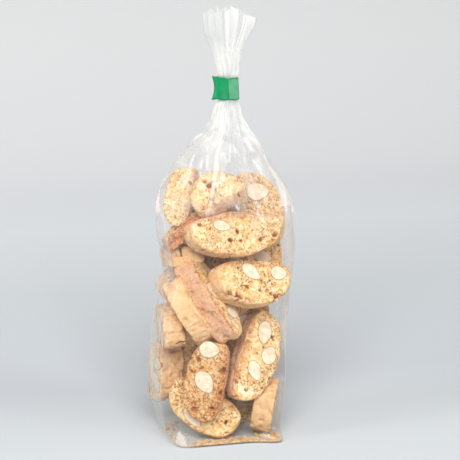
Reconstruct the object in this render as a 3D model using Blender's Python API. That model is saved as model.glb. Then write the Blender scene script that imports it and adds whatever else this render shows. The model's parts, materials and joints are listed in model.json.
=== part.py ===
"""A clear film bag of almond biscuits, filled, standing and tied at the neck.

The bag is one closed solid: a block bottom, a body that the biscuits push out, shoulders that gather into
pleats, a neck, and the open end that fans out above it. The tie is a strip of tape folded round the neck.
Frame: metres, +Z up, origin at the middle of the flat base, front of the bag towards -Y.
"""

import math

import bmesh
import bpy

MM = 0.001

# Driving sizes, in millimetres.
BAG_HEIGHT = 290.0
BASE_WIDTH, BASE_DEPTH = 71.0, 55.0
TAPE_WIDTH = 14.5
TAPE_BOTTOM = 229.5
TAPE_TURN = -15.0  # degrees about the neck, so that the crease faces the bag's front left
NECK_OFFSET = 4.9  # the tied neck stands this far to the right of the middle of the base
NECK_HALF_WIDTH, NECK_HALF_DEPTH = 5.95, 5.4  # inside of the tape
PLEAT_ROOM = 0.8  # from the middle of the gathered pleats to the tape round them
NECK_LEFT = NECK_HALF_WIDTH - PLEAT_ROOM - NECK_OFFSET
NECK_RIGHT = NECK_HALF_WIDTH - PLEAT_ROOM + NECK_OFFSET
NECK_DEPTH = NECK_HALF_DEPTH - PLEAT_ROOM

SEGMENTS = 96  # points round one section of the bag
NECK_SEGMENTS = 24  # points round the inside of the tape
PLEATS = 12  # folds that the neck gathers the film into

# Sections of the bag from the base up: height, reach to the left, reach to the right, half depth, and how
# square the section is (the exponent of a superellipse: 2 is an ellipse, 9 nearly a box).
SECTIONS = (
    (0.0, BASE_WIDTH / 2, BASE_WIDTH / 2, BASE_DEPTH / 2, 9.0),
    (2.0, BASE_WIDTH / 2 + 0.6, BASE_WIDTH / 2 + 0.6, BASE_DEPTH / 2 + 0.4, 9.0),
    (8.0, 42.5, 36.5, 26.6, 7.5),
    (24.0, 45.0, 39.5, 27.4, 7.0),
    (40.0, 47.0, 41.2, 27.8, 6.5),
    (58.0, 47.0, 41.2, 28.0, 6.0),
    (78.0, 44.8, 42.0, 27.8, 6.0),
    (98.0, 41.5, 44.2, 27.4, 6.0),
    (114.0, 37.0, 46.0, 26.8, 6.0),
    (128.0, 38.2, 47.4, 26.2, 6.0),
    (140.0, 43.0, 49.4, 25.4, 5.6),
    (156.0, 48.0, 52.0, 24.0, 5.0),
    (172.0, 46.2, 47.2, 21.5, 4.4),
    (180.0, 42.4, 44.0, 19.8, 4.2),
    (187.0, 38.0, 39.6, 18.0, 3.8),
    (196.0, 28.6, 31.4, 15.0, 3.2),
    (206.0, 14.6, 21.4, 11.2, 2.6),
    (216.0, 6.4, 15.0, 8.2, 2.3),
    (225.0, 2.0, 12.2, 5.8, 2.0),
    (TAPE_BOTTOM, NECK_LEFT, NECK_RIGHT, NECK_DEPTH, 2.0),
    (TAPE_BOTTOM + TAPE_WIDTH, NECK_LEFT, NECK_RIGHT, NECK_DEPTH, 2.0),
    (247.5, 1.2, 11.0, 5.0, 2.0),
    (256.0, 2.6, 11.0, 5.4, 2.0),
    (263.0, 4.0, 11.2, 6.2, 2.1),
    (270.0, 7.6, 13.8, 7.2, 2.2),
    (277.0, 8.4, 16.6, 8.4, 2.3),
    (283.0, 8.8, 20.4, 9.2, 2.4),
    (BAG_HEIGHT, 9.4, 21.6, 9.4, 2.4),
)

# Depth of the pleats as a share of the radius: height, share.
PLEAT_DEPTH = (
    (0.0, 0.0),
    (150.0, 0.0),
    (172.0, 0.035),
    (198.0, 0.10),
    (218.0, 0.15),
    (229.5, 0.08),
    (244.0, 0.08),
    (256.0, 0.16),
    (270.0, 0.20),
    (283.0, 0.24),
    (BAG_HEIGHT, 0.25),
)

# How far the side panels fold in between their two corners, as a share of the radius: height, share.
GUSSET_DEPTH = (
    (0.0, 0.0),
    (130.0, 0.0),
    (156.0, 0.10),
    (187.0, 0.22),
    (209.0, 0.16),
    (226.0, 0.0),
    (BAG_HEIGHT, 0.0),
)

RING_HEIGHTS = (
    0, 2, 5, 8, 16, 24, 32, 40, 49, 58, 68, 78, 88, 98, 106, 114, 121, 128, 134, 140, 148, 156, 164, 172, 180,
    187, 192, 196, 201, 206, 211, 216, 221, 225, 229.5, 236.5, 244, 247.5, 252, 256, 260, 263, 267, 270, 274,
    277, 280, 283, 286, BAG_HEIGHT,
)  # fmt: skip

FOOT_EAR = 6.0  # how far the folded corner of the base stands out at the front right
RIM_DROP = 7.0  # how much lower the open end is cut at its right corner


def clear_scene():
    for obj in list(bpy.data.objects):
        bpy.data.objects.remove(obj, do_unlink=True)


def smooth_step(t):
    t = min(1.0, max(0.0, t))
    return t * t * (3 - 2 * t)


def between(table, height):
    """The values of a table at one height, eased from row to row."""
    for low, high in zip(table, table[1:]):
        if height <= high[0]:
            t = (height - low[0]) / (high[0] - low[0])
            t = 0.5 * t + 0.5 * smooth_step(t)
            return tuple(a + (b - a) * t for a, b in zip(low[1:], high[1:]))
    return table[-1][1:]


def zigzag(turns):
    """A triangle wave between -1 and 1 with a period of one turn."""
    t = turns % 1.0
    return 4 * abs(t - 0.5) - 1


def section_point(height, angle):
    """The point of the bag's skin at this height and angle, in millimetres."""
    left, right, half_depth, squareness = between(SECTIONS, height)
    half_width, shift = (right + left) / 2, (right - left) / 2
    (pleat,) = between(PLEAT_DEPTH, height)
    (gusset,) = between(GUSSET_DEPTH, height)
    c, s = math.cos(angle), math.sin(angle)
    radius = (abs(c / half_width) ** squareness + abs(s / half_depth) ** squareness) ** (-1 / squareness)
    turns = PLEATS * angle / (2 * math.pi) + 0.18 * math.sin(3 * angle + 0.6) + 0.11 * math.sin(5 * angle)
    radius *= 1 + pleat * zigzag(turns)
    side = max(0.0, abs(c) - 0.80) / 0.20
    radius *= 1 - gusset * smooth_step(side)
    x, y, z = shift + radius * c, radius * s, height
    foot = smooth_step(1 - height / 11.0)
    ear = foot * math.exp(-((angle - math.radians(-38)) / 0.22) ** 2)
    x, y = x + FOOT_EAR * ear * 0.3, y - FOOT_EAR * ear
    rim = smooth_step((height - 270.0) / (BAG_HEIGHT - 270.0))
    z -= rim * (RIM_DROP * smooth_step((c - 0.25) / 0.75) + 1.8 * (1 + zigzag(turns / 2 + 0.2)))
    return x, y, z


def build_bag(collection):
    """The filled bag as one closed loft, from the flat base to the rim of the open end."""
    mesh = bmesh.new()
    rings = []
    for height in RING_HEIGHTS:
        ring = []
        for i in range(SEGMENTS):
            angle = 2 * math.pi * i / SEGMENTS - math.pi
            ring.append(mesh.verts.new([v * MM for v in section_point(height, angle)]))
        rings.append(ring)
    for lower, upper in zip(rings, rings[1:]):
        for i in range(SEGMENTS):
            j = (i + 1) % SEGMENTS
            mesh.faces.new((lower[i], lower[j], upper[j], upper[i]))
    mesh.faces.new(reversed(rings[0]))
    middle = mesh.verts.new((NECK_OFFSET * MM, 0, (BAG_HEIGHT - 9.0) * MM))
    for i in range(SEGMENTS):
        mesh.faces.new((rings[-1][i], rings[-1][(i + 1) % SEGMENTS], middle))
    data = bpy.data.meshes.new("bag")
    mesh.to_mesh(data)
    mesh.free()
    data.shade_smooth()
    data.set_sharp_from_angle(angle=math.radians(28))
    bag = bpy.data.objects.new("bag", data)
    collection.objects.link(bag)
    data.materials.append(material("clear_film", (0.93, 0.80, 0.62, 1), 0.12))
    return bag


def build_tape(collection):
    """The strip of tape: two flat facets across the front with a crease between them, then on round the back of
    the neck to a flap where its two ends stick together."""
    outer = (
        (-10.2, -2.7), (0.6, -6.95), (6.6, -3.3), (7.2, 0.0), (6.4, 3.3), (2.4, 6.3),
        (-3.0, 6.2), (-6.8, 2.6), (-7.6, -1.5), (-10.2, -1.5),
    )  # fmt: skip
    neck = []
    for i in range(NECK_SEGMENTS):
        angle = 2 * math.pi * i / NECK_SEGMENTS
        neck.append((NECK_HALF_WIDTH * math.cos(angle), NECK_HALF_DEPTH * math.sin(angle)))
    curve = bpy.data.curves.new("closure_tape", "CURVE")
    curve.dimensions = "2D"
    curve.fill_mode = "BOTH"
    curve.extrude = TAPE_WIDTH / 2 * MM
    for outline in (outer, neck):
        spline = curve.splines.new("POLY")
        spline.points.add(len(outline) - 1)
        for point, (x, y) in zip(spline.points, outline):
            point.co = (x * MM, y * MM, 0, 1)
        spline.use_cyclic_u = True
    curve.materials.append(material("green_tape", (0.01, 0.36, 0.14, 1), 0.35))
    tape = bpy.data.objects.new("closure_tape", curve)
    tape.location = (NECK_OFFSET * MM, 0, (TAPE_BOTTOM + TAPE_WIDTH / 2) * MM)
    tape.rotation_euler = (0, 0, math.radians(TAPE_TURN))
    collection.objects.link(tape)
    return tape


def material(name, colour, roughness):
    made = bpy.data.materials.new(name)
    made.use_nodes = True
    shader = made.node_tree.nodes["Principled BSDF"]
    shader.inputs["Base Color"].default_value = colour
    shader.inputs["Roughness"].default_value = roughness
    shader.inputs["Metallic"].default_value = 0.0
    return made


def main():
    clear_scene()
    collection = bpy.data.collections.new("biscuit_bag")
    bpy.context.scene.collection.children.link(collection)
    build_bag(collection)
    build_tape(collection)


main()
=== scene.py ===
"""The looks of a clear film bag of sliced almond biscuits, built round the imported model.

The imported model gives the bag's outer shape. Here it becomes a sheet of clear film, drawn tight and creased,
with separate biscuits inside it and a strip of tape round its neck. Metres, +Z up, front towards -Y.
"""

import json
import math

import bpy
import numpy as np
from mathutils import Matrix, Vector
from mathutils.bvhtree import BVHTree

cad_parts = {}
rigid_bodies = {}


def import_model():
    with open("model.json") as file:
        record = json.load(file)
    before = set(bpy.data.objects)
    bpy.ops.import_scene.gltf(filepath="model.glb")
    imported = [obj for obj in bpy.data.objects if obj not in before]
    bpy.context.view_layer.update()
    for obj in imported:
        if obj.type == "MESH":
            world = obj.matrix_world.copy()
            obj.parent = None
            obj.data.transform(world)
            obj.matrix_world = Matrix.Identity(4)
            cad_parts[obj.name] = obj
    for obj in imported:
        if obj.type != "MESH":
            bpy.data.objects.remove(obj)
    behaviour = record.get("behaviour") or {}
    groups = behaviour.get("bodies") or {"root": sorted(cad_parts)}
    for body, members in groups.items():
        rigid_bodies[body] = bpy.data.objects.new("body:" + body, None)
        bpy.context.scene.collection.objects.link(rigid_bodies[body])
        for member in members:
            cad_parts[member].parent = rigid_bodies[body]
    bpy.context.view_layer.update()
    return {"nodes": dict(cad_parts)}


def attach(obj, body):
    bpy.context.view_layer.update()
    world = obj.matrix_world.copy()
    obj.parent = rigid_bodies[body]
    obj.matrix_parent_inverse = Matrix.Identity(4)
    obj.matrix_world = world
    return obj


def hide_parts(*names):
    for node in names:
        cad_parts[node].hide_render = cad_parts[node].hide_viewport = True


MM = 0.001

# ---------------------------------------------------------------- sizes, in millimetres

BISCUIT_VOXEL = 0.66  # spacing of the points on a biscuit
FILM_GAP = 1.2  # the biscuits stay at least this far inside the film
FILM_COLUMNS = 300
TAPE_BOTTOM, TAPE_TOP = 229.5, 244.0
NECK_OFFSET = 4.9  # the tied neck stands this far to the right of the base's middle

# Colours, as sRGB.
CRUMB_PALE = "#F1D9A9"
CRUMB_GOLD = "#DDAA60"
TOASTED_PALE = "#D48F56"
TOASTED_DEEP = "#934A28"
# The two colours of painted shade in pores, pits and holes.
PORE_SHADE_GOLD = "#9C5E2A"
PIT_SHADE_BROWN = "#5E3016"
CRUST_TAN = "#DCAC78"
CRUST_PALE = "#ECC799"
TRAY_BROWN = "#C79776"
TRAY_PALE = "#E2B895"
ALMOND_IVORY = "#ECDCC3"
ALMOND_EDGE = "#DDC4A0"
SKIN_TAN = "#B58A62"
SKIN_DARK = "#7A5440"
TAPE_GREEN = "#008C55"
TAPE_SHADE = "#047A4A"
# The floor's colours from front to back: a painted gradient of light and shade.
FLOOR_NEAR = "#C1C5C7"
FLOOR_SHADE = "#BBBFC3"
FLOOR_MIDDLE = "#C6CACD"
FLOOR_BEHIND = "#D8DBDE"
FLOOR_FAR = "#E8E8E8"


# ---------------------------------------------------------------- small helpers


def linear(code):
    """An sRGB hex colour as linear RGBA."""
    channels = [int(code[i : i + 2], 16) / 255 for i in (1, 3, 5)]
    return [c / 12.92 if c <= 0.04045 else ((c + 0.055) / 1.055) ** 2.4 for c in channels] + [1.0]


def add(tree, kind, values=None, stops=(), **settings):
    """Adds one shader node. values maps an input to a number, a colour, or the node or output that feeds it;
    stops are the (place, colour) pairs of a colour ramp."""
    made = tree.nodes.new(kind)
    for name, value in settings.items():
        setattr(made, name, value)
    for key, value in (values or {}).items():
        if isinstance(value, bpy.types.Node):
            value = next(out for out in value.outputs if out.enabled)
        if isinstance(value, bpy.types.NodeSocket):
            tree.links.new(value, made.inputs[key])
        else:
            made.inputs[key].default_value = value
    if stops:
        elements = made.color_ramp.elements
        while len(elements) < len(stops):
            elements.new(0.5)
        for element, (place, colour) in zip(elements, stops):
            element.position = place
            element.color = linear(colour)
    return made


def marks(size):
    """The texture scale that draws marks about size millimetres across, for coordinates in metres."""
    return 1 / (size * MM)


def new_material(name):
    """A material with an empty node tree."""
    made = bpy.data.materials.new(name)
    made.use_nodes = True
    made.node_tree.nodes.clear()
    return made, made.node_tree


def smooth_step(low, high, value):
    t = np.clip((np.asarray(value, float) - low) / (high - low), 0, 1)
    return t * t * (3 - 2 * t)


def hashed(cells, seed):
    """A repeatable number from 0 to 1 for each row of whole-number cell coordinates."""
    mixed = np.full(cells.shape[0], seed * 7919 + 12345, np.uint64)
    for axis in range(cells.shape[1]):
        part = cells[:, axis].astype(np.int64).astype(np.uint64)
        mixed = (mixed ^ part) * np.uint64(0x9E3779B97F4A7C15)
        mixed ^= mixed >> np.uint64(29)
    return (mixed >> np.uint64(40)).astype(float) / float(1 << 24)


def lumps(points, size, seed):
    """Smooth noise from -1 to 1 with lumps about size across, for points in millimetres."""
    scaled = points / size
    whole = np.floor(scaled).astype(np.int64)
    part = scaled - whole
    part = part * part * (3 - 2 * part)
    total = np.zeros(len(points))
    for corner in np.ndindex(*(2,) * points.shape[1]):
        step = np.array(corner)
        weight = np.prod(np.where(step, part, 1 - part), axis=1)
        total += weight * hashed(whole + step, seed)
    return 2 * total - 1


def facets(points, size, seed):
    """Noise from -1 to 1 made of flat triangles that meet in sharp creases, for points on a plane."""
    skew = (points[:, 0] + points[:, 1]) * 0.3660254
    grid = (points + skew[:, None]) / size
    whole = np.floor(grid).astype(np.int64)
    part = grid - whole
    upper = part[:, 0] > part[:, 1]
    corner = hashed(whole, seed)
    middle = hashed(whole + np.where(upper[:, None], (1, 0), (0, 1)), seed)
    far = hashed(whole + 1, seed)
    most, least = part.max(1), part.min(1)
    return 2 * (corner * (1 - most) + middle * (most - least) + far * least) - 1


def store(mesh, name, values):
    mesh.attributes.new(name, "FLOAT", "POINT").data.foreach_set("value", np.asarray(values, np.float32))


def mesh_from(name, points, faces, scale=MM):
    mesh = bpy.data.meshes.new(name)
    mesh.from_pydata((np.asarray(points) * scale).tolist(), [], faces)
    mesh.update()
    return mesh


def place_object(mesh, materials=()):
    made = bpy.data.objects.new(mesh.name, mesh)
    bpy.context.scene.collection.objects.link(made)
    for one in materials:
        mesh.materials.append(one)
    return made


# ---------------------------------------------------------------- materials


def baked_biscuit():
    """Twice-baked biscuit. The cut crumb is pale gold and dry, with toasted patches and fine pores painted brown as
    shade inside them; the domed crust is a smooth tan and the side that lay on the tray a pinkish brown."""
    made, tree = new_material("baked_biscuit")
    place = add(tree, "ShaderNodeTexCoord").outputs["Object"]
    cut = add(tree, "ShaderNodeAttribute", attribute_name="cut").outputs["Fac"]
    toast = add(tree, "ShaderNodeAttribute", attribute_name="toast").outputs["Fac"]
    pit_shade = add(tree, "ShaderNodeAttribute", attribute_name="pit_shade").outputs["Fac"]
    tray = add(tree, "ShaderNodeAttribute", attribute_name="tray").outputs["Fac"]
    porous = add(tree, "ShaderNodeAttribute", attribute_name="porous").outputs["Fac"]

    # Pale crumb, mottled with gold.
    values = {"Vector": place, "Scale": marks(2.6), "Detail": 4.0, "Roughness": 0.62}
    mottle = add(tree, "ShaderNodeTexNoise", values)
    crumb = add(tree, "ShaderNodeValToRGB", {0: mottle}, stops=((0.38, CRUMB_GOLD), (0.56, CRUMB_PALE)))

    # Toasted patches with ragged borders.
    ragged = add(tree, "ShaderNodeTexNoise", {"Vector": place, "Scale": marks(4.0), "Detail": 5.0, "Roughness": 0.65})
    spread = add(tree, "ShaderNodeMath", {0: ragged, 1: 1.6, 2: -0.8}, operation="MULTIPLY_ADD")
    browned = add(tree, "ShaderNodeMath", {0: toast, 1: spread}, operation="ADD", use_clamp=True)
    flecks = add(tree, "ShaderNodeTexNoise", {"Vector": place, "Scale": marks(1.4), "Detail": 3.0, "Roughness": 0.6})
    toasted = add(tree, "ShaderNodeValToRGB", {0: flecks}, stops=((0.35, TOASTED_DEEP), (0.6, TOASTED_PALE)))
    crumb = add(tree, "ShaderNodeMix", {0: browned, 6: crumb, 7: toasted}, data_type="RGBA")

    # Fine pores about a millimetre apart, drawn a little coarser than real ones so that they show, and painted
    # a darker gold as the shade inside them.
    cells = add(tree, "ShaderNodeTexVoronoi", {"Vector": place, "Scale": marks(1.4), "Randomness": 1.0})
    open_cell = add(tree, "ShaderNodeMapRange", {0: cells.outputs["Distance"], 1: 0.42, 2: 0.22})
    chosen = add(tree, "ShaderNodeMath", {0: cells.outputs["Color"], 1: porous}, operation="LESS_THAN")
    pores = add(tree, "ShaderNodeMath", {0: open_cell, 1: chosen}, operation="MULTIPLY")
    faint = add(tree, "ShaderNodeMath", {0: pores, 1: 0.92}, operation="MULTIPLY")
    crumb = add(tree, "ShaderNodeMix", {0: faint, 6: crumb, 7: linear(PORE_SHADE_GOLD)}, data_type="RGBA")
    # Painted shade in pits and broken holes: darker gold where shallow, deep brown where deep.
    shallow = add(tree, "ShaderNodeMapRange", {0: pit_shade, 1: 0.0, 2: 0.5})
    crumb = add(tree, "ShaderNodeMix", {0: shallow, 6: crumb, 7: linear(PORE_SHADE_GOLD)}, data_type="RGBA")
    deep = add(tree, "ShaderNodeMapRange", {0: pit_shade, 1: 0.45, 2: 1.0})
    crumb = add(tree, "ShaderNodeMix", {0: deep, 6: crumb, 7: linear(PIT_SHADE_BROWN)}, data_type="RGBA")

    # The outside: domed crust and tray side.
    cloudy = add(tree, "ShaderNodeTexNoise", {"Vector": place, "Scale": marks(4.5), "Detail": 5.0, "Roughness": 0.6})
    dome = add(tree, "ShaderNodeValToRGB", {0: cloudy}, stops=((0.32, CRUST_TAN), (0.62, CRUST_PALE)))
    mealy = add(tree, "ShaderNodeTexNoise", {"Vector": place, "Scale": marks(1.3), "Detail": 4.0, "Roughness": 0.7})
    flat = add(tree, "ShaderNodeValToRGB", {0: mealy}, stops=((0.34, TRAY_BROWN), (0.60, TRAY_PALE)))
    outside = add(tree, "ShaderNodeMix", {0: tray, 6: dome, 7: flat}, data_type="RGBA")
    burnt = add(tree, "ShaderNodeMath", {0: browned, 1: 0.8}, operation="MULTIPLY")
    outside = add(tree, "ShaderNodeMix", {0: burnt, 6: outside, 7: toasted}, data_type="RGBA")
    # Painted shade: pits and holes in the crust turn deep brown by their depth.
    outside = add(tree, "ShaderNodeMix", {0: deep, 6: outside, 7: linear(PIT_SHADE_BROWN)}, data_type="RGBA")
    colour = add(tree, "ShaderNodeMix", {0: cut, 6: outside, 7: crumb}, data_type="RGBA")

    # A sandy grain, with the pores sunk into it.
    grain = add(tree, "ShaderNodeTexNoise", {"Vector": place, "Scale": marks(0.8), "Detail": 2.0})
    sunk = add(tree, "ShaderNodeMath", {0: pores, 1: cut}, operation="MULTIPLY")
    height = add(tree, "ShaderNodeMath", {0: grain, 1: sunk}, operation="SUBTRACT")
    rough = add(tree, "ShaderNodeBump", {"Height": height, "Strength": 0.5, "Distance": 0.45 * MM})
    values = {"Base Color": colour, "Roughness": 0.85, "Specular IOR Level": 0.22, "Normal": rough}
    shader = add(tree, "ShaderNodeBsdfPrincipled", values)
    add(tree, "ShaderNodeOutputMaterial", {"Surface": shader})
    return made


def cut_almond():
    """The ivory flesh of a cut almond: smooth and slightly waxy."""
    made, tree = new_material("cut_almond")
    place = add(tree, "ShaderNodeTexCoord").outputs["Object"]
    cloud = add(tree, "ShaderNodeTexNoise", {"Vector": place, "Scale": marks(3.5), "Detail": 3.0})
    colour = add(tree, "ShaderNodeValToRGB", {0: cloud}, stops=((0.34, ALMOND_EDGE), (0.58, ALMOND_IVORY)))
    values = {"Base Color": colour, "Roughness": 0.5, "Specular IOR Level": 0.4}
    shader = add(tree, "ShaderNodeBsdfPrincipled", values)
    add(tree, "ShaderNodeOutputMaterial", {"Surface": shader})
    return made


def almond_skin():
    """The thin brown skin round an almond, finely wrinkled."""
    made, tree = new_material("almond_skin")
    place = add(tree, "ShaderNodeTexCoord").outputs["Object"]
    wrinkles = add(tree, "ShaderNodeTexNoise", {"Vector": place, "Scale": marks(1.2), "Detail": 3.0})
    colour = add(tree, "ShaderNodeValToRGB", {0: wrinkles}, stops=((0.3, SKIN_DARK), (0.62, SKIN_TAN)))
    shader = add(tree, "ShaderNodeBsdfPrincipled", {"Base Color": colour, "Roughness": 0.7})
    add(tree, "ShaderNodeOutputMaterial", {"Surface": shader})
    return made


def clear_film():
    """Thin clear polypropylene film: it mirrors the lights at a slant, turns milky where it is bunched, and carries
    painted highlights in white.
    """
    made, tree = new_material("clear_film")
    haze_and_highlight = add(tree, "ShaderNodeAttribute", attribute_name="haze_and_highlight").outputs["Fac"]
    slant = add(tree, "ShaderNodeLayerWeight", {"Blend": 0.5}).outputs["Facing"]
    steep = add(tree, "ShaderNodeMath", {0: slant, 1: 4.0}, operation="POWER")
    share = add(tree, "ShaderNodeMath", {0: steep, 1: 0.8, 2: 0.04}, operation="MULTIPLY_ADD", use_clamp=True)
    tint = add(tree, "ShaderNodeMix", {0: steep, 6: (0.985, 0.987, 0.985, 1), 7: (0.78, 0.78, 0.76, 1)}, data_type="RGBA")
    clear = add(tree, "ShaderNodeBsdfTransparent", {"Color": tint})
    mirror = add(tree, "ShaderNodeBsdfGlossy", {"Color": (1, 1, 1, 1), "Roughness": 0.24})
    sheet = add(tree, "ShaderNodeMixShader", {0: share, 1: clear, 2: mirror})
    scatter = add(tree, "ShaderNodeBsdfDiffuse", {"Color": (0.96, 0.955, 0.93, 1), "Roughness": 0.5})
    through = add(tree, "ShaderNodeBsdfTranslucent", {"Color": (0.96, 0.955, 0.93, 1)})
    haze = add(tree, "ShaderNodeMixShader", {0: 0.45, 1: scatter, 2: through})
    shader = add(tree, "ShaderNodeMixShader", {0: haze_and_highlight, 1: sheet, 2: haze})
    add(tree, "ShaderNodeOutputMaterial", {"Surface": shader})
    return made


def green_tape():
    """Green vinyl tape: a deep even green with a satin gleam, faintly mottled."""
    made, tree = new_material("green_tape")
    place = add(tree, "ShaderNodeTexCoord").outputs["Object"]
    cloud = add(tree, "ShaderNodeTexNoise", {"Vector": place, "Scale": marks(5.0), "Detail": 3.0})
    colour = add(tree, "ShaderNodeValToRGB", {0: cloud}, stops=((0.3, TAPE_SHADE), (0.6, TAPE_GREEN)))
    fine = add(tree, "ShaderNodeTexNoise", {"Vector": place, "Scale": marks(1.5), "Detail": 2.0})
    uneven = add(tree, "ShaderNodeBump", {"Height": fine, "Strength": 0.05, "Distance": 0.3 * MM})
    values = {"Base Color": colour, "Roughness": 0.3, "Specular IOR Level": 0.3, "Normal": uneven}
    shader = add(tree, "ShaderNodeBsdfPrincipled", values)
    add(tree, "ShaderNodeOutputMaterial", {"Surface": shader})
    return made


def pale_floor():
    """Smooth pale paper, with painted shade and light: a little darker just behind the bag and lighter towards the
    back.
    """
    made, tree = new_material("pale_floor")
    place = add(tree, "ShaderNodeTexCoord").outputs["Object"]
    back = add(tree, "ShaderNodeSeparateXYZ", {0: place}).outputs["Y"]
    far = add(tree, "ShaderNodeMapRange", {0: back, 1: -0.2, 2: 1.8})
    stops = ((0.09, FLOOR_NEAR), (0.16, FLOOR_SHADE), (0.30, FLOOR_MIDDLE), (0.44, FLOOR_BEHIND), (0.72, FLOOR_FAR))
    colour = add(tree, "ShaderNodeValToRGB", {0: far}, stops=stops)
    shader = add(tree, "ShaderNodeBsdfDiffuse", {"Color": colour, "Roughness": 0.5})
    add(tree, "ShaderNodeOutputMaterial", {"Surface": shader})
    return made


# ---------------------------------------------------------------- biscuits

# Each slice: name, middle (x, y, z), turn to the right, tilt upwards and roll of its cut face in degrees,
# length, height from tray side to dome, thickness, and how brown it is. A slice with no turn, tilt or roll
# faces the front of the bag with its dome on top.
SLICES = (
    ("top_wide", (5, -15, 142), 14, 24, 175, 68, 28, 14, 0.12),
    ("top_right", (31, 8, 152), -20, 6, -78, 54, 30, 13, 0.12),
    ("top_middle", (-6, -10, 166.5), -32, 34, 38, 35, 26, 13, 0.10),
    ("top_left", (-22, 7, 161), -30, 12, 94, 40, 20, 12, 0.05),
    # top_left_low's brown of 1.3 is partly painted shade: its underside faces down into shade and is coloured darker
    # for it.
    ("top_left_low", (-26, -1, 146), -95, 46, 90, 38, 22, 9, 1.3),
    ("left_end_on", (-27, 9, 123), 0, 86, 90, 32, 26, 13, 0.20),
    ("left_tray_side", (-12, -9, 98), 50, 34, -90, 60, 26, 15, 0.10),
    ("middle_wide", (17, -13, 106), 18, 26, 173, 55, 30, 14, 0.05),
    ("left_dome_side", (-24, -10, 89), 78, 31, 90, 48, 26, 14, 0.02),
    ("left_across", (-32, 4, 79), -88, 0, 0, 40, 28, 15, 0.05),
    ("left_upright", (-30, 17, 40), -84, 2, -90, 42, 22, 17, 0.05),
    ("right_leaning", (26.5, -8.5, 52), 21, 24, -119, 64, 29, 14, 0.05),
    ("front_upright", (-14, -17, 43), -26, 4, 82, 55, 28, 14, 0.40),
    ("front_low", (-15, -9, 18.6), -14, 22, 148, 53, 29, 13, 0.05),
    ("right_low", (26, -14, 22.5), 62, 2, 90, 36, 28, 14, 0.05),
    ("right_high_back", (29, 18, 117), 160, -4, 70, 62, 30, 13, 0.25),
    ("right_mid_back", (28, 18, 68), 184, 4, 86, 60, 30, 12, 0.30),
    ("right_edge_back", (40, 12, 66), 80, 4, 92, 60, 18, 8, 0.9),
    ("back_high", (8, 17, 153), 176, 4, 8, 48, 30, 12, 0.10),
    ("back_centre", (8, 14, 125), 176, 2, 2, 42, 24, 12, 0.30),
    ("back_middle", (-8, 19, 103), 182, 6, 24, 56, 30, 13, 0.08),
    ("back_left", (-7, 19, 55), 176, 4, 88, 52, 29, 13, 0.20),
    ("back_low", (10, 15, 19), 184, 8, 184, 58, 29, 14, 0.10),
)


def slice_turn(turn, tilt, roll):
    """The rotation from a slice's own axes (length, tray side to dome, cut face) to the bag's."""
    upright = Matrix(((1, 0, 0), (0, 0, -1), (0, 1, 0)))
    rolled = Matrix.Rotation(math.radians(-roll), 3, "Y")
    tilted = Matrix.Rotation(math.radians(-tilt), 3, "X")
    turned = Matrix.Rotation(math.radians(turn), 3, "Z")
    return np.array(turned @ tilted @ rolled @ upright)


def slice_entries():
    """The slices with their turns worked out as rotations."""
    return [(s[0], s[1], slice_turn(*s[2:5]), *s[5:]) for s in SLICES]


def slice_outline(length, height, count=72):
    """The outline of a cut face: a flat tray side with rounded corners under a low dome, centred on its middle."""
    low = 0.36 * height
    top = height - low
    points = []
    for i in range(count):
        angle = 2 * math.pi * i / count
        c, s = math.cos(angle), math.sin(angle)
        if s >= 0:
            reach = ((abs(c) / (length / 2)) ** 2.2 + (s / top) ** 2.2) ** (-1 / 2.2)
        else:
            reach = ((abs(c) / (length / 2)) ** 3 + (-s / low) ** 3) ** (-1 / 3)
        points.append((reach * c, reach * s + low - height / 2))
    return np.array(points)


def rough_slice(name, length, height, thickness, rng):
    """A closed slab with the outline of one slice, its ends cut at a slant, remeshed to even quads."""
    outline = slice_outline(length, height)
    wobble = np.zeros(len(outline))
    angles = np.arange(len(outline)) * 2 * math.pi / len(outline)
    for turns in (2, 3, 4, 5, 7, 9):
        wobble += rng.uniform(-1, 1) * 0.09 / turns * np.sin(turns * angles + rng.uniform(0, 7))
    outline = outline * (1 + wobble[:, None])
    slant = rng.uniform(-0.25, 0.25)
    levels = ((-0.5, 0.975), (-0.44, 1.0), (-0.15, 1.01), (0.15, 1.01), (0.44, 1.0), (0.5, 0.975))
    points, faces = [], []
    for share, size in levels:
        z = share * thickness
        for x, y in outline * size:
            points.append((x + slant * z, y, z))
    count = len(outline)
    for level in range(len(levels) - 1):
        for i in range(count):
            j = (i + 1) % count
            faces.append(
                (level * count + i, level * count + j, (level + 1) * count + j, (level + 1) * count + i)
            )
    faces.append(tuple(reversed(range(count))))
    faces.append(tuple(range((len(levels) - 1) * count, len(levels) * count)))
    rough = place_object(mesh_from(name, points, faces))
    remesh = rough.modifiers.new("even", "REMESH")
    remesh.mode = "VOXEL"
    remesh.voxel_size = BISCUIT_VOXEL * MM
    evaluated = rough.evaluated_get(bpy.context.evaluated_depsgraph_get())
    even = bpy.data.meshes.new_from_object(evaluated)
    bpy.data.objects.remove(rough)
    return even, outline, slant


def read_points(mesh):
    flat = np.zeros(len(mesh.vertices) * 3, np.float32)
    mesh.vertices.foreach_get("co", flat)
    return flat.reshape(-1, 3).astype(float) / MM


def read_normals(mesh):
    flat = np.zeros(len(mesh.vertices) * 3, np.float32)
    mesh.vertex_normals.foreach_get("vector", flat)
    return flat.reshape(-1, 3).astype(float)


def inside_distance(points, outline):
    """How far points of the cut face's plane lie inside its outline, below zero outside."""
    angle = np.arctan2(points[:, 1], points[:, 0])
    edge_angle = np.arctan2(outline[:, 1], outline[:, 0])
    order = np.argsort(edge_angle)
    reach = np.interp(angle, edge_angle[order], np.hypot(*outline[order].T), period=2 * math.pi)
    return (reach - np.hypot(*points.T)) * 0.8


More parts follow.
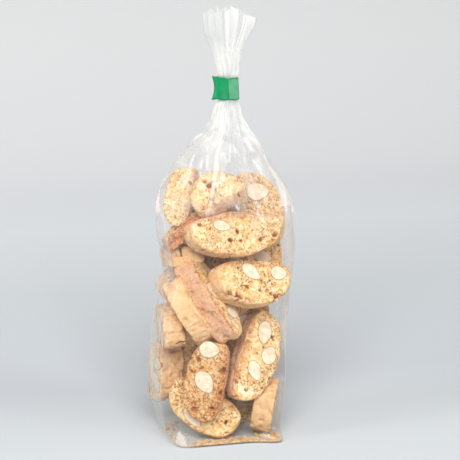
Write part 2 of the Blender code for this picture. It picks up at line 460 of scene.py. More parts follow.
def pores(points, spacing, smallest, largest, share, seed):
    """The depth of round and oval pores at points of a plane, in millimetres: one in some of its square cells."""
    depth = np.zeros(len(points))
    home = np.floor(points / spacing).astype(np.int64)
    for step in np.ndindex(3, 3):
        cell = home + np.array(step) - 1
        across, up, chance, lot, turn = (hashed(cell, seed + 11 * k) for k in range(5))
        offset = points - (cell + 0.5 + 0.8 * (np.stack([across, up], 1) - 0.5)) * spacing
        size = smallest + (largest - smallest) * lot**2
        c, s = np.cos(turn * math.pi), np.sin(turn * math.pi)
        along = (offset[:, 0] * c + offset[:, 1] * s) / (size * 1.3)
        over = (offset[:, 1] * c - offset[:, 0] * s) / (size * 0.8)
        hole = size * 1.1 * np.clip(1 - along**2 - over**2, 0, 1) ** 0.7
        depth = np.maximum(depth, hole * (chance < share))
    return depth


def almond_outline(long, wide, count=26):
    """A teardrop: round at one end and pointed at the other."""
    angles = np.arange(count) * 2 * math.pi / count
    x = np.cos(angles) * long / 2
    y = np.sin(angles) * wide / 2 * (1 - 0.17 * np.cos(angles)) * (1 - 0.08 * np.cos(2 * angles))
    return np.stack([x, y], 1)


def almond_cap(middle, turn, long, wide, level, up, proud, bulge):
    """A closed lens with an almond's outline set in a cut face. up is 1 or -1, the side it faces."""
    outline = almond_outline(long, wide)
    c, s = math.cos(turn), math.sin(turn)
    rings = ((1.0, -1.6), (1.0, 0.0), (0.93, 0.55), (0.78, 0.85), (0.5, 0.97))
    points, faces = [], []
    for size, rise in rings:
        height = level + up * (proud * min(rise, 1) if rise < 0 else proud * 0.5 + bulge * rise)
        for x, y in outline * size:
            points.append((middle[0] + x * c - y * s, middle[1] + x * s + y * c, height))
    points.append((middle[0], middle[1], level + up * (proud * 0.5 + bulge)))
    points.append((middle[0], middle[1], level - up * 1.6 * proud))
    count = len(outline)
    for ring in range(len(rings) - 1):
        for i in range(count):
            j = (i + 1) % count
            faces.append((ring * count + i, ring * count + j, (ring + 1) * count + j, (ring + 1) * count + i))
    last = (len(rings) - 1) * count
    for i in range(count):
        faces.append((last + i, last + (i + 1) % count, len(points) - 2))
        faces.append(((i + 1) % count, i, len(points) - 1))
    if up < 0:
        faces = [tuple(reversed(face)) for face in faces]
    return points, faces


# Almonds on the faces that show at the front, in the slice's own axes: x along the slice, y towards the dome,
# the turn of its pointed end in degrees, its length and width.
SHOWN_ALMONDS = {
    "top_wide": ((10.8, -5.8, 165, 12, 6),),
    "top_right": ((-12.0, 1.0, 77, 15, 10.5), (11, 2, 30, 12, 7)),
    "top_middle": (),
    "top_left": (),
    "top_left_low": ((6, 6, 20, 11, 6),),
    "left_tray_side": ((-5, -5, 20, 14, 8), (14, 3, 60, 12, 7)),
    "middle_wide": ((2.8, -7.0, 141, 15, 8), (-18.3, -6.2, 178, 12, 8.5)),
    "right_leaning": ((-17.4, -1.8, 10, 16, 9.5), (-4.0, 6.3, 171, 13, 10), (10.2, -0.9, 42, 14, 8.6)),
    "front_upright": ((22.0, 0.7, -85, 13.5, 10), (-0.3, -0.2, -140, 16, 10.5)),
    "front_low": ((3.4, 8.4, 159, 16, 7),),
    "right_low": ((4, 2, 80, 13, 8),),
}

# Places where a shown slice is broken or holed: a point in its own axes, the hole's radius, its depth.
BREAKS = {
    "top_wide": ((-26, -4, 7, 2.0, 1.2), (-27, 1, 7, 1.6, 1.4), (-25, 6, 7, 1.8, 1.2), (-14, -13, 7, 3.0, 0.8)),
    "top_middle": ((-1.2, 4, 6.5, 3.0, 2.6), (-2, 8.5, 6.5, 2.2, 1.8), (0.4, 0.5, 6.5, 2.2, 2.4), (2.5, 5, 6.5, 1.8, 1.6)),
    "middle_wide": ((20, 8, 6, 3.4, 3.0), (14, 10.5, 6, 3.8, 3.2), (7, 12.5, 6, 2.8, 2.2), (-8, 6, 7, 1.7, 1.6),
                    (-11, 8, 7, 1.8, 2.0), (-14, 9.5, 7, 2.2, 2.4), (-17.5, 9.5, 7, 2.6, 2.8)),
    "left_tray_side": ((12, -13, 0, 4.8, 1.6), (9, -12.5, 3, 3.0, 1.4)),
    "front_upright": ((10, -11, 7, 3.2, 2.2), (-20, 3, 7, 2.6, 1.8), (14, 7, 7, 2.2, 1.8)),
}


def grown_biscuit(entry, materials, seed):
    """One slice: even slab, sawn faces with pores, crust with a fine grain, and almonds set flush in its faces."""
    name, middle, rotation, length, height, thickness, brown = entry
    rng = np.random.default_rng(seed)
    mesh, outline, slant = rough_slice(name, length, height, thickness, rng)
    points, normals = read_points(mesh), read_normals(mesh)
    flat = points[:, :2] - np.outer(points[:, 2], (slant, 0))
    inside = inside_distance(flat, outline)
    cut = smooth_step(0.55, 0.85, np.abs(normals[:, 2]))
    tray = smooth_step(0.55, 0.9, -normals[:, 1]) * (1 - cut)
    almonds = []
    for side in (1, -1):
        chosen = SHOWN_ALMONDS.get(name) if side == 1 else None
        if chosen is None:
            chosen = []
            for _ in range(rng.integers(1, 4)):
                x = rng.uniform(-0.34, 0.34) * length
                y = rng.uniform(-0.22, 0.22) * height
                chosen.append((x, y, rng.uniform(0, 180), rng.uniform(11, 16), rng.uniform(6.5, 8.5)))
        for x, y, turn, long, wide in chosen:
            apart = all(math.hypot(x - a[1], y - a[2]) > 11 for a in almonds if a[0] == side)
            if apart:
                almonds.append((side, x, y, math.radians(turn), long, wide))
    calm = np.zeros(len(points))
    for side, x, y, turn, long, wide in almonds:
        c, s = math.cos(turn), math.sin(turn)
        local = (flat - (x, y)) @ np.array([[c, -s], [s, c]])
        reach = np.sqrt((local[:, 0] / (long / 2 + 0.8)) ** 2 + (local[:, 1] / (wide / 2 + 0.8)) ** 2)
        calm = np.maximum(calm, (1 - smooth_step(0.92, 1.12, reach)) * (points[:, 2] * side > 0))

    # Pores and breaks sink the surface; browner slices are rougher.
    facing = flat + 97 * np.sign(points[:, 2:3])
    crowded = smooth_step(-0.45, 0.5, lumps(points, 10, seed) + brown)
    depth = pores(facing, 2.1, 0.45, 1.0, 0.7, seed) * crowded
    depth = np.maximum(depth, 0.8 * pores(facing, 5.5, 0.8, 1.7, 0.22, seed + 3))
    # Painted shade: each pore is coloured darker the deeper it is.
    hole_shade = np.clip(depth / 1.1, 0, 1) * (hashed(np.floor(facing / 3).astype(np.int64), seed) * 0.6 + 0.45)
    ragged = 1 + 0.35 * lumps(points, 2.4, seed + 9)
    for x, y, z, radius, deep in BREAKS.get(name, ()):
        near = np.linalg.norm((points - (x + slant * z, y, z)) * ragged[:, None], axis=1) / radius
        hole = 1 - smooth_step(0.35, 1.0, near)
        depth = np.maximum(depth, deep * hole)
        # Painted shade: a break is coloured darker towards its deepest middle.
        hole_shade = np.maximum(hole_shade, np.clip(0.38 * deep, 0, 1) * hole * (0.7 + 0.3 * lumps(points, 1.7, seed + 10)))
    skin = np.maximum(cut, hole_shade > 0.2)
    depth *= skin * (1 - calm)
    wave = 0.45 * lumps(points, 9, seed + 1)
    wave += (1 + 3 * brown) * (0.24 * lumps(points, 3.0, seed + 2) + 0.14 * lumps(points, 1.5, seed + 3))
    edge = 1 - smooth_step(0.2, 2.4, inside)
    chipped = 1.8 * edge * np.clip(lumps(points, 3.4, seed + 4) - 0.1, 0, 1)
    chipped += 3.2 * (1 - smooth_step(0.5, 4.5, inside)) * np.clip(lumps(points, 8, seed + 11) - 0.4, 0, 1)
    move = (wave * cut - depth) * (1 - calm * cut)
    shell = 0.5 * lumps(points, 15, seed + 5) + 0.18 * lumps(points, 4, seed + 6)
    shell += 0.07 * lumps(points, 1.5, seed + 7)
    move += shell * (1 - cut) - chipped * (1 - 0.6 * cut) * (1 - calm)
    points = points + normals * move[:, None]

    # How toasted: along the tray side, at the rim and in broad patches.
    rim = 1 - smooth_step(0.3, 2.2, inside)
    low_band = smooth_step(0.0, 1.0, (-flat[:, 1] - height * 0.26) / 4.5)
    broad = smooth_step(0.1, 0.8, lumps(points, 16, seed + 12))
    # Above 0.6 a slice's brown falls on its crust more than on its cut face; this carries the painted shade on
    # top_left_low's underside.
    toast = brown * (1 - 0.75 * cut * (brown > 0.6)) + cut * (0.22 * rim + 0.55 * low_band * (0.7 + 0.4 * lumps(points, 7, seed + 8)) + 0.22 * broad)
    toast += (1 - cut) * (0.05 * broad + 0.5 * edge * np.clip(lumps(points, 3.4, seed + 4) - 0.1, 0, 1))
    porous = np.clip(0.22 + 0.62 * crowded + 0.3 * low_band, 0, 0.95) * (1 - 0.7 * (1 - cut))
    all_points = [points]
    quads = [tuple(face.vertices) for face in mesh.polygons]
    slots = [0] * len(quads)
    sizes = [len(points)]
    for side, x, y, turn, long, wide in almonds:
        shifted = (x + slant * side * thickness / 2, y)
        for extra, proud, bulge, slot in ((0.55, 0.7, -0.12, 2), (0.0, 0.8, 0.10, 1)):
            found, found_faces = almond_cap(
                shifted, turn, long + extra, wide + extra, side * thickness / 2, side, proud, bulge
            )
            start = sum(sizes)
            all_points.append(np.array(found))
            sizes.append(len(found))
            quads += [tuple(start + i for i in face) for face in found_faces]
            slots += [slot] * len(found_faces)
    joined = np.concatenate(all_points) @ rotation.T + np.array(middle)
    bpy.data.meshes.remove(mesh)
    made = mesh_from("biscuit_" + name, joined, quads)
    made.polygons.foreach_set("material_index", slots)
    made.polygons.foreach_set("use_smooth", [True] * len(quads))
    spare = len(joined) - len(points)
    shades = {"cut": cut, "toast": toast, "pit_shade": hole_shade * skin * (1 - calm), "tray": tray, "porous": porous}
    for label, values in shades.items():
        store(made, label, np.concatenate([values, np.zeros(spare)]))
    return place_object(made, materials)


# ---------------------------------------------------------------- how the slices lie


def slice_balls(length, height, thickness):
    """Balls that fill a slice, for keeping slices apart: their middles in its own axes, and their radii."""
    middles, radii = [], []
    big, small = thickness / 2, thickness / 4
    for x in np.linspace(-(length / 2 - big - 1), length / 2 - big - 1, 5):
        bend = 1 - (2 * x / length) ** 2
        for y in np.linspace(-(height / 2 - big), (height / 2 - big) * bend, 3):
            middles.append((x, y, 0))
            radii.append(big)
    for x in np.linspace(-(length / 2 - small - 1.5), length / 2 - small - 1.5, 8):
        bend = max(0.0, 1 - (2 * x / length) ** 2) ** 0.5
        for y in (-(height / 2 - small - 0.5), (height / 2 - small) * bend):
            for z in (-(thickness / 2 - small), thickness / 2 - small):
                middles.append((x, y, z))
                radii.append(small)
    return np.array(middles), np.array(radii)


def settled(entries, wall, steps=120):
    """Pushes slices apart that overlap, and keeps them inside the bag: their middles and rotations.
    The slices at the back give way more easily than those that show at the front."""
    shapes = [slice_balls(*entry[3:6]) for entry in entries]
    middles = np.array([entry[1] for entry in entries], float)
    rotations = [np.array(entry[2]) for entry in entries]
    starts = middles.copy()
    turned = [Matrix(r).to_quaternion() for r in rotations]
    front = middles[:, 1] < 10
    ease = np.where(front, 0.3, 1.0)
    owner = np.repeat(np.arange(len(entries)), [len(radii) for _, radii in shapes])
    radii = np.concatenate([r for _, r in shapes])
    reach = radii[:, None] + radii[None, :]
    reach[owner[:, None] >= owner[None, :]] = 0
    for _ in range(steps):
        balls = np.concatenate([m @ r.T + c for (m, _), r, c in zip(shapes, rotations, middles)])
        length = (balls**2).sum(1)
        distance = np.sqrt(np.clip(length[:, None] + length[None, :] - 2 * balls @ balls.T, 0, None))
        first, second = np.nonzero(distance < reach)
        apart = distance[first, second] + 1e-6
        push_out = (balls[first] - balls[second]) * ((reach[first, second] - apart) / apart)[:, None]
        share = (ease[owner[first]] / (ease[owner[first]] + ease[owner[second]]))[:, None]
        push = wall(balls, radii)
        np.add.at(push, first, push_out * share)
        np.add.at(push, second, -push_out * (1 - share))
        for i in range(len(entries)):
            mine = owner == i
            moved = push[mine]
            pressed = np.abs(moved).sum(1) > 1e-6
            if not pressed.any():
                continue
            arms = balls[mine] - middles[i]
            middles[i] += moved[pressed].mean(0) * 0.5
            spin = np.cross(arms, moved).sum(0) / (arms**2).sum() * 1.2
            angle = float(np.linalg.norm(spin))
            if angle > 1e-7:
                turn = Matrix.Rotation(min(angle, 0.05), 3, Vector(spin / angle))
                rotations[i] = np.array(turn) @ rotations[i]
            if front[i]:
                middles[i] += 0.06 * (starts[i] - middles[i])
                now = Matrix(rotations[i]).to_quaternion()
                rotations[i] = np.array(now.slerp(turned[i], 0.06).to_matrix())
    return middles, rotations


# ---------------------------------------------------------------- crumbs


def build_crumbs(skin, biscuits, material):
    """Crumbs that have gathered on the bag's base, thickest along the front, where they also stand in for a painted
    reflection of the biscuits in the film's folded lip: small lumps joined as one piece.
    """
    rng = np.random.default_rng(12)
    trees = [BVHTree.FromPolygons([v.co for v in b.data.vertices], [p.vertices for p in b.data.polygons])
             for b in biscuits]  # fmt: skip
    points, faces = [], []
    corners = np.array([(x, y, z) for x in (-1, 1) for y in (-1, 1) for z in (-1, 1)], float)
    sides = ((0, 1, 3, 2), (4, 6, 7, 5), (0, 4, 5, 1), (2, 3, 7, 6), (0, 2, 6, 4), (1, 5, 7, 3))
    while len(points) < 3600:
        size = 0.3 + 0.9 * rng.random() ** 6
        angle = rng.uniform(-math.pi, math.pi)
        # Most go to the front, partly as a painted reflection of the biscuits in the folded lip.
        if rng.random() < 0.8:
            angle = rng.uniform(-2.4, -0.35)
        out = skin.radius(angle, 3) - 1.0 - size
        share = 1 - 0.4 * rng.random() ** 3
        middle = np.array([out * share * math.cos(angle), out * share * math.sin(angle), 0.9 + size * 0.55])
        inside = any(tree.find_nearest(Vector(middle * MM), (size + 0.2) * MM)[0] is not None for tree in trees)
        if inside:
            continue
        shape = corners * rng.uniform(0.35, 0.75, (8, 1)) * size
        turned = shape @ np.array(Matrix.Rotation(rng.uniform(0, 6), 3, "Z")).T
        turned = turned * (1, 1, 0.7)
        faces += [tuple(len(points) * 8 + i for i in side) for side in sides]
        points.append(middle + turned)
    mesh = mesh_from("crumbs", np.concatenate(points), faces)
    count = len(mesh.vertices)
    toast = np.repeat(rng.uniform(-0.2, 0.6, count // 8), 8)
    for label, values in (("cut", np.ones(count)), ("toast", toast)):
        store(mesh, label, values)
    for label in ("pit_shade", "tray", "porous"):
        store(mesh, label, np.zeros(count))
    return place_object(mesh, [material])


# ---------------------------------------------------------------- film


class Skin:
    """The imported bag's outer surface, found by rays towards its upright axis."""

    def __init__(self, bag):
        self.tree = BVHTree.FromObject(bag, bpy.context.evaluated_depsgraph_get())

    def middle(self, height):
        """The axis leans a little to the right, from the middle of the base to the tied neck."""
        return NECK_OFFSET * float(smooth_step(150, 225, height))

    def radius(self, angle, height):
        centre = self.middle(height)
        c, s = math.cos(angle), math.sin(angle)
        start = Vector(((centre + 90 * c) * MM, 90 * s * MM, height * MM))
        hit = self.tree.ray_cast(start, Vector((-c, -s, 0)), 0.09)
        return None if hit[0] is None else 90 - hit[3] / MM

    def table(self, angles, heights):
        found = np.full((len(heights), len(angles)), np.nan)
        for row, height in enumerate(heights):
            for column, angle in enumerate(angles):
                value = self.radius(angle, height)
                if value is not None:
                    found[row, column] = value
        for row in range(1, len(heights)):
            missing = np.isnan(found[row])
            found[row, missing] = found[row - 1, missing]
        return found


def bag_wall(skin):
    """A function that pushes balls in the bag back inside its skin and off its floor."""

    def push(balls, sizes):
        inward = np.zeros((len(balls), 3))
        for i, (ball, size) in enumerate(zip(balls, sizes)):
            place, normal, _, _ = skin.tree.find_nearest(Vector(ball * MM))
            depth = (place / MM - Vector(ball)).dot(normal)
            short = size + FILM_GAP - depth
            if short > 0:
                inward[i] = np.array(normal) * -short
        return inward

    return push


def film_heights():
    """Row heights, in millimetres: closer together where the film is gathered."""
    body = np.linspace(0.3, 150, 118)
    shoulders = np.linspace(150, 228, 80)[1:]
    neck = np.linspace(228, 246, 16)[1:]
    fan = np.linspace(246, 289.6, 38)[1:]
    return np.concatenate([body, shoulders, neck, fan])


def reach_of(biscuits, angles, heights):
    """How far the biscuits reach out from the axis towards each point of the film, in millimetres."""
    reach = np.zeros((len(heights), len(angles)))
    for biscuit in biscuits:
        points = read_points(biscuit.data)
        across = points[:, 0] - NECK_OFFSET * smooth_step(150, 225, points[:, 2])
        column = np.round((np.arctan2(points[:, 1], across) + math.pi) / (2 * math.pi) * len(angles))
        row = np.clip(np.searchsorted(heights, points[:, 2]), 0, len(heights) - 1)
        np.maximum.at(reach, (row, column.astype(int) % len(angles)), np.hypot(across, points[:, 1]))
    wide = reach.copy()
    for shift in (-1, 0, 1):
        rolled = np.roll(reach, shift, 1)
        wide = np.maximum(wide, rolled)
        wide[1:] = np.maximum(wide[1:], rolled[:-1])
        wide[:-1] = np.maximum(wide[:-1], rolled[1:])
    return wide


def fold_turns(angle):
    """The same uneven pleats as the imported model's, counted round the neck."""
    return 12 * angle / (2 * math.pi) + 0.18 * np.sin(3 * angle + 0.6) + 0.11 * np.sin(5 * angle)


def zigzag(turns):
    return 1 - 4 * np.abs(turns - np.floor(turns) - 0.5)


# The fan above the tape: height, and the film's reach to the left, to the right and forward of the neck's middle.
FAN_REACH = (
    (246, 7.0, 7.2, 6.2),
    (260, 8.2, 7.4, 6.4),
    (266, 10.2, 9.4, 7.6),
    (272, 13.2, 12.6, 9.2),
    (280, 14.0, 14.6, 10.6),
    (290, 14.2, 16.6, 11.6),
)


def fan_radius(turn, z):
    """The fan's radius about the neck's middle, without its pleats."""
    heights, left, right, forward = (np.array(column) for column in zip(*FAN_REACH))
    side = np.where(np.cos(turn) < 0, np.interp(z, heights, left), np.interp(z, heights, right))
    return 1 / np.sqrt((np.cos(turn) / side) ** 2 + (np.sin(turn) / np.interp(z, heights, forward)) ** 2)


def fold_lines():
    """The long folds that run down from the tied neck: the angle of each at the neck and at its foot in degrees,
    the height of its foot, its width there, how far it stands out, and how white its crest and its flank are
    painted, as a highlight along the crest and a reflection on the flank."""
    rng = np.random.default_rng(5)
    folds = []
    for k in range(24):
        angle = -180 + 360 * (k + rng.uniform(-0.45, 0.45)) / 24
        foot = angle + rng.uniform(-12, 12)
        low = rng.uniform(128, 198)
        wide = rng.uniform(3.5, 9.5) * (0.6 + 0.4 * (210 - low) / 80)
        folds.append((angle, foot, low, wide, 0.26 * wide, rng.uniform(0.1, 0.5), rng.uniform(0, 0.3) ** 1.4))
    for shown in (
        (-110, -121, 150, 3.2, 1.2, 0.60, 0.66),
        (-136, -146, 190, 9.0, 2.4, 0.35, 0.60),
        (-70, -44, 156, 6.0, 1.8, 0.50, 0.20),
        (-55, -30, 165, 5.0, 1.5, 0.45, 0.30),
        (-88, -80, 172, 7.0, 1.8, 0.40, 0.10),
    ):
        folds.append(shown)
    return folds


# Painted highlights, as flat white triangles where the film bends over at the shoulders and a corner of the base: the
# angle of each, the heights of its foot and its tip, its width at the foot and how white it is.
FILM_GLINTS = (
    (-174, 157, 182, 5.0, 0.66),
    (-18, 155, 180, 5.0, 0.66),
    (-30, 160, 194, 2.4, 0.50),
    (-143, 1.0, 13, 4.0, 0.62),
)


def build_film(skin, biscuits, material):
    """The film as one sheet: up from the base, over the shoulders, through the tape and out into the fan."""
    heights = film_heights()
    angles = np.linspace(-math.pi, math.pi, FILM_COLUMNS + 1)[:-1]
    z = heights[:, None] + 0 * angles[None, :]
    turn = angles[None, :] + 0 * heights[:, None]
    spread = smooth_step(243, 250, z)
    radii = skin.table(angles, heights) * (1 - spread) + fan_radius(turn, z) * spread
    girth = radii.mean(1)[:, None]
    around = np.stack([(turn * girth).ravel(), z.ravel()], 1)  # the film unrolled, in millimetres
    warp = np.stack([lumps(around, 26, 71), lumps(around, 26, 72)], 1) * 5
    gathered = smooth_step(188, 226, z)
    shoulder = smooth_step(138, 172, z) * (1 - smooth_step(212, 230, z))
    tied = smooth_step(228, 231, z) * (1 - smooth_step(242, 245, z))
    fan = smooth_step(246, 262, z)
    opened = smooth_step(258, 271, z)
    left_side = smooth_step(0.82, 0.92, np.cos(turn + math.pi)) * (1 - smooth_step(150, 175, z))
    right_side = smooth_step(0.78, 0.92, np.cos(turn)) * (1 - smooth_step(150, 175, z))

    # Long folds from the neck, each a sharp crest between two flat flanks.
    broken = 0.25 + 0.75 * smooth_step(-0.3, 0.4, lumps(around * (1.0, 0.6), 8, 80)).reshape(z.shape)
    shape = np.zeros(z.shape)
    crest_highlight = np.zeros(z.shape)
    flank_reflection = np.zeros(z.shape)
    for top_angle, foot_angle, low, wide, proud, crest, flank in fold_lines():
        down = np.clip((226 - z) / (226 - low), 0, 1.15)
        line = np.radians(top_angle + (foot_angle - top_angle) * down)
        across = (np.mod(turn - line + math.pi, 2 * math.pi) - math.pi) * girth
        across += 1.2 * np.sin(z / 9 + foot_angle)
        reach = 0.8 + (wide - 0.8) * down**0.8
        fade = smooth_step(low - 6, low + 26, z) * (1 - smooth_step(222, 229, z))
        tent = np.clip(1 - np.abs(across) / reach, 0, 1)
        shape = np.maximum(shape, proud * tent * fade * (0.25 + 0.75 * smooth_step(228, 190, z)))
        # Painted highlight along each crest.
        crest_highlight = np.maximum(crest_highlight, crest * np.exp(-((across / 0.75) ** 2)) * fade * broken)
        # Painted reflection: one flank of the fold is whiter, as if it caught a lamp.
        on_flank = smooth_step(0.0, 0.12, tent) * (across * math.sin(low) > 0)
        flank_reflection = np.maximum(flank_reflection, flank * on_flank * fade)

    # Broad flat dents over the shoulders, shallow ones on the body.
    dents = facets(around + warp, 19, 73).reshape(z.shape)
    finer = facets(around * (1.0, 0.7) + warp * 0.6 + 40, 8.5, 74).reshape(z.shape)
    shape += (0.35 + 2.0 * shoulder) * dents + (0.07 + 0.35 * shoulder + 0.4 * gathered) * finer
    crushed = facets(around * (1.0, 0.8) + warp * 0.3 + 9, 5.0, 75).reshape(z.shape)
    shape += 0.9 * gathered * (1 - tied) * (1 - 0.7 * fan) * crushed
    wander = lumps(around * (1.0, 0.5), 14, 76).reshape(z.shape) * (1 - fan)
    pleat = fold_turns(turn) + 0.8 * wander
    folded = zigzag(pleat)
    shape = shape * (1 - tied) * (1 - 0.6 * fan)
    shape += girth * gathered * (0.17 + 0.07 * fan) * folded * (1 - 0.7 * tied)
    shape *= 0.15 + 0.85 * smooth_step(0, 10, z)
    shape = np.where(tied > 0.5, np.minimum(shape, 0) - 0.3, shape)
    radii = np.maximum(radii + shape - 0.15, 0.6)
    radii += 1.3 * smooth_step(0.3, 2.5, z) * (1 - smooth_step(2.5, 5.5, z)) * smooth_step(-0.2, 0.4, -np.sin(turn))
    pressed = reach_of(biscuits, angles, heights) + 0.45
    radii = np.maximum(radii, pressed)
    for _ in range(3):
        eased = radii.copy()
        eased[1:-1] = (radii[:-2] + 2 * radii[1:-1] + radii[2:]) / 4
        eased = (np.roll(eased, 1, 1) + 2 * eased + np.roll(eased, -1, 1)) / 4
        loose = 1 - smooth_step(120, 160, z)
        radii = np.maximum(radii + (eased - radii) * loose, pressed)
    centre = NECK_OFFSET * smooth_step(150, 225, z)
    x, y = centre + radii * np.cos(turn), radii * np.sin(turn)
    rim = smooth_step(268, 290, z)
    lower = 5.5 * smooth_step(0.5, 1.0, np.cos(turn)) + 2.5 * smooth_step(0.6, 1.0, -np.cos(turn))
    top = z - rim * (lower + 1.0 * (1 + folded))
    points = np.stack([x, y, top], -1).reshape(-1, 3)
    rows, columns = z.shape
    faces = []
    for row in range(rows - 1):
        low, high = row * columns, (row + 1) * columns
        for column in range(columns):
            after = (column + 1) % columns
            faces.append((low + column, low + after, high + after, high + column))
    base_points, base_faces = base_panel(points[:columns], len(points))

    # Milky where it is bunched; painted highlights along crests, on one flank of some folds, on one side of each
    # pleat, as streaks on the sides and as glints; the faceted patches over the shoulders are partly haze and partly
    # painted highlight.
    # Painted highlight: one side of each pleat is whiter, as if it faced the lamps.
    steep = smooth_step(0.42, 0.58, np.mod(pleat, 1.0)) * (1 - smooth_step(0.92, 1.0, np.mod(pleat, 1.0)))
    patch = smooth_step(0.0, 0.5, facets(around + warp, 12, 77)).reshape(z.shape)
    highlight_streaks = smooth_step(0.1, 0.6, lumps(around * (1.0, 0.12), 3.2, 79)).reshape(z.shape)
    haze_and_highlight = 0.012 + 0.05 * smooth_step(120, 170, z) + shoulder * (0.04 + 0.20 * patch)
    haze_and_highlight += 0.2 * smooth_step(243, 247, z) * (1 - opened)
    haze_and_highlight += gathered * (1 - opened) * (0.20 + (0.10 + 0.20 * patch) * steep + 0.24 * patch)
    # In the fan the painted highlight on one side of each pleat is weaker towards the left.
    haze_and_highlight += opened * (0.02 + 0.05 * patch + 0.66 * steep * (0.3 + 0.7 * smooth_step(-0.7, -0.4, np.cos(turn))))
    # The body's left and right sides: partly the haze of the folded side gussets, partly painted highlight streaks.
    haze_and_highlight += left_side * (0.10 + 0.22 * highlight_streaks) * smooth_step(8, 40, z)
    haze_and_highlight += right_side * (0.05 + 0.30 * highlight_streaks) * smooth_step(8, 40, z)
    haze_and_highlight = np.maximum(haze_and_highlight, crest_highlight)
    haze_and_highlight = np.maximum(haze_and_highlight, flank_reflection)
    # The painted highlights of the glints.
    for angle, low, high, wide, white in FILM_GLINTS:
        across = (np.mod(turn - math.radians(angle) + math.pi, 2 * math.pi) - math.pi) * girth
        up = (z - low) / (high - low)
        inside = (up > 0) * (np.abs(across) < wide * (1 - up))
        haze_and_highlight = np.maximum(haze_and_highlight, white * inside)
    # Whiter along the folded lip round the foot: partly the crease, partly painted highlight.
    haze_and_highlight += 0.18 * smooth_step(1.0, 2.5, z) * (1 - smooth_step(2.5, 6, z))
    haze_and_highlight = np.clip(haze_and_highlight, 0, 0.85).ravel()
    mesh = mesh_from("clear_film_bag", np.concatenate([points, base_points]), faces + base_faces)
    mesh.polygons.foreach_set("use_smooth", [True] * len(mesh.polygons))
    store(mesh, "haze_and_highlight", np.concatenate([haze_and_highlight, np.full(len(base_points), 0.06)]))
    return place_object(mesh, [material])


def base_panel(edge, start):
    """The base of the bag inside its lowest ring: a slightly rumpled sheet."""
    count = len(edge)
    middle = edge.mean(0)
    points, faces = [], []
    shares = (0.92, 0.8, 0.65, 0.5, 0.35, 0.2)
    for share in shares:
        ring = middle + (edge - middle) * share
        ring[:, 2] = 0.25 + 0.35 * (1 + lumps(ring[:, :2], 9, 81)) * (1 - share**6)
        points.append(ring)
    ring_before = list(range(count))
    for level in range(len(shares)):
        ring_now = [start + level * count + i for i in range(count)]
        for i in range(count):
            j = (i + 1) % count
            faces.append((ring_before[j], ring_before[i], ring_now[i], ring_now[j]))
        ring_before = ring_now
    points.append(np.array([[middle[0], middle[1], 0.5]]))
    last = start + len(shares) * count
    for i in range(count):
        faces.append((ring_before[(i + 1) % count], ring_before[i], last))
    return np.concatenate(points), faces


# ---------------------------------------------------------------- tape

# The tape's path seen from above, from the end of the flap, across the front and round the back, about the
# neck's middle, and its turn about the neck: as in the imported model.
TAPE_PATH = (
    (-10.2, -2.7), (-5.0, -4.75), (0.6, -6.95), (3.8, -5.0), (6.6, -3.3), (7.2, 0.0), (6.4, 3.3), (2.4, 6.3),
    (-3.0, 6.2), (-6.8, 2.6), (-7.6, -1.2), (-10.2, -2.2),
)  # fmt: skip
TAPE_TURN = -15.0


def build_tape(material):
    """A strip of tape: flat facets with a sharp crease at the front, its two ends stuck together as a flap."""
    path = []
    for (x0, y0), (x1, y1) in zip(TAPE_PATH, TAPE_PATH[1:]):
        for share in np.linspace(0, 1, 7)[:-1]:
            path.append((x0 + (x1 - x0) * share, y0 + (y1 - y0) * share))
    path.append(TAPE_PATH[-1])
    path = np.array(path)
    rows = 16
    c, s = math.cos(math.radians(TAPE_TURN)), math.sin(math.radians(TAPE_TURN))
    points = []
    for row in range(rows):
        up = row / (rows - 1)
        for index, (x, y) in enumerate(path):
            flap = float(smooth_step(-7.0, -10.2, x))
            x = x + flap * 1.6 * math.sin(math.pi * up) - 0.3 * flap * (1 - up)
            dip = 0.25 * math.sin(x * 0.9 + 1.0) * (1 - 2 * up)
            flare = 1.5 * (1 - up) * float(smooth_step(-5.0, 0.6, x)) * (y < 0)
            x, y = x + 0.5 * flare, y - 0.8 * flare
            z = TAPE_BOTTOM + (TAPE_TOP - TAPE_BOTTOM) * up + dip - 0.12 * x * up * 0.5
            points.append((NECK_OFFSET + x * c - y * s, x * s + y * c, z))
    columns = len(path)
    faces = []
    for row in range(rows - 1):
        for column in range(columns - 1):
            a = row * columns + column
            faces.append((a, a + 1, a + 1 + columns, a + columns))
    tape = place_object(mesh_from("closure_tape_strip", points, faces), [material])
    tape.data.polygons.foreach_set("use_smooth", [True] * len(faces))
    tape.data.set_sharp_from_angle(angle=math.radians(22))
    thick = tape.modifiers.new("thickness", "SOLIDIFY")
    thick.thickness = 0.22 * MM
    thick.offset = -1
    return tape


# ---------------------------------------------------------------- stage


def build_stage(material):
    """A pale floor that curves up into a backdrop."""
    width, front, back, bend, top = 3.0, -1.6, 0.9, 0.5, 2.4
    profile = [(front, 0.0), (back, 0.0)]
    for i in range(1, 17):
        angle = math.pi / 2 * i / 16
        profile.append((back + bend * math.sin(angle), bend * (1 - math.cos(angle))))
    profile.append((back + bend, top))
    points = [(side * width, y, z) for y, z in profile for side in (-1, 1)]
    faces = [(2 * i, 2 * i + 1, 2 * i + 3, 2 * i + 2) for i in range(len(profile) - 1)]
    floor = place_object(mesh_from("pale_stage", points, faces, 1.0), [material])
    floor.data.polygons.foreach_set("use_smooth", [True] * len(faces))


def soft_light(name, place, aim, size, power, colour="#FFFFFF"):
    light = bpy.data.lights.new(name, "AREA")
    light.shape = "RECTANGLE"
    light.size, light.size_y = size
    light.energy = power
    light.color = linear(colour)[:3]
    made = bpy.data.objects.new(name, light)
    made.location = place
    made.rotation_mode = "QUATERNION"
    made.rotation_quaternion = (Vector(aim) - Vector(place)).to_track_quat("-Z", "Y")
    bpy.context.scene.collection.objects.link(made)


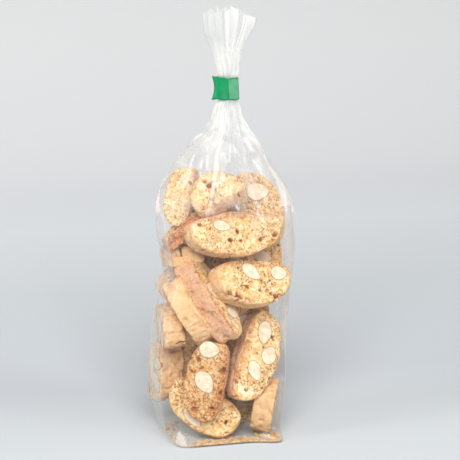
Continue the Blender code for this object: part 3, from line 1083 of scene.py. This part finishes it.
def build_lights():
    """A large soft box above the camera, one low at each side for the gleam on film and tape, and a pale room."""
    aim = (0, 0, 0.13)
    soft_light("over_box", (-0.35, -1.35, 1.15), aim, (1.2, 0.9), 31)
    soft_light("left_box", (-1.5, -0.3, 0.5), aim, (0.4, 1.0), 7)
    soft_light("right_box", (1.25, -1.2, 0.33), aim, (0.4, 0.55), 9)
    world = bpy.data.worlds.new("pale_room")
    bpy.context.scene.world = world
    world.use_nodes = True
    background = world.node_tree.nodes["Background"]
    background.inputs["Color"].default_value = linear("#F6F7F8")
    background.inputs["Strength"].default_value = 0.44


def build_camera():
    """A long lens from the front left, a little above the bag."""
    camera = bpy.data.cameras.new("camera")
    camera.sensor_width = 36
    camera.lens = 131.9
    made = bpy.data.objects.new("camera", camera)
    bpy.context.scene.collection.objects.link(made)
    around, distance = math.radians(-14), 1.1
    made.location = (distance * math.sin(around), -distance * math.cos(around), 0.378)
    aim = Vector((0.0062, -0.0015, 0.1416))
    made.rotation_mode = "QUATERNION"
    made.rotation_quaternion = (aim - made.location).to_track_quat("-Z", "Y")
    bpy.context.scene.camera = made


# ---------------------------------------------------------------- all together


def main():
    for obj in list(bpy.data.objects):
        bpy.data.objects.remove(obj, do_unlink=True)
    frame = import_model()
    scene = bpy.context.scene
    scene.view_settings.view_transform = "Standard"
    scene.cycles.transparent_max_bounces = 32
    build_camera()
    build_lights()
    build_stage(pale_floor())
    skin = Skin(frame["nodes"]["bag"])
    biscuits = []
    entries = slice_entries()
    middles, rotations = settled(entries, bag_wall(skin))
    materials = [baked_biscuit(), cut_almond(), almond_skin()]
    for seed, (entry, middle, rotation) in enumerate(zip(entries, middles, rotations)):
        moved = (entry[0], middle, rotation, *entry[3:])
        biscuit = grown_biscuit(moved, materials, seed * 20 + 3)
        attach(biscuit, "root")
        biscuits.append(biscuit)
    crumbs = build_crumbs(skin, biscuits, materials[0])
    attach(crumbs, "root")
    film = build_film(skin, biscuits, clear_film())
    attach(film, "root")
    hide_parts("bag")
    tape = build_tape(green_tape())
    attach(tape, "root")
    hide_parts("closure_tape")


main()
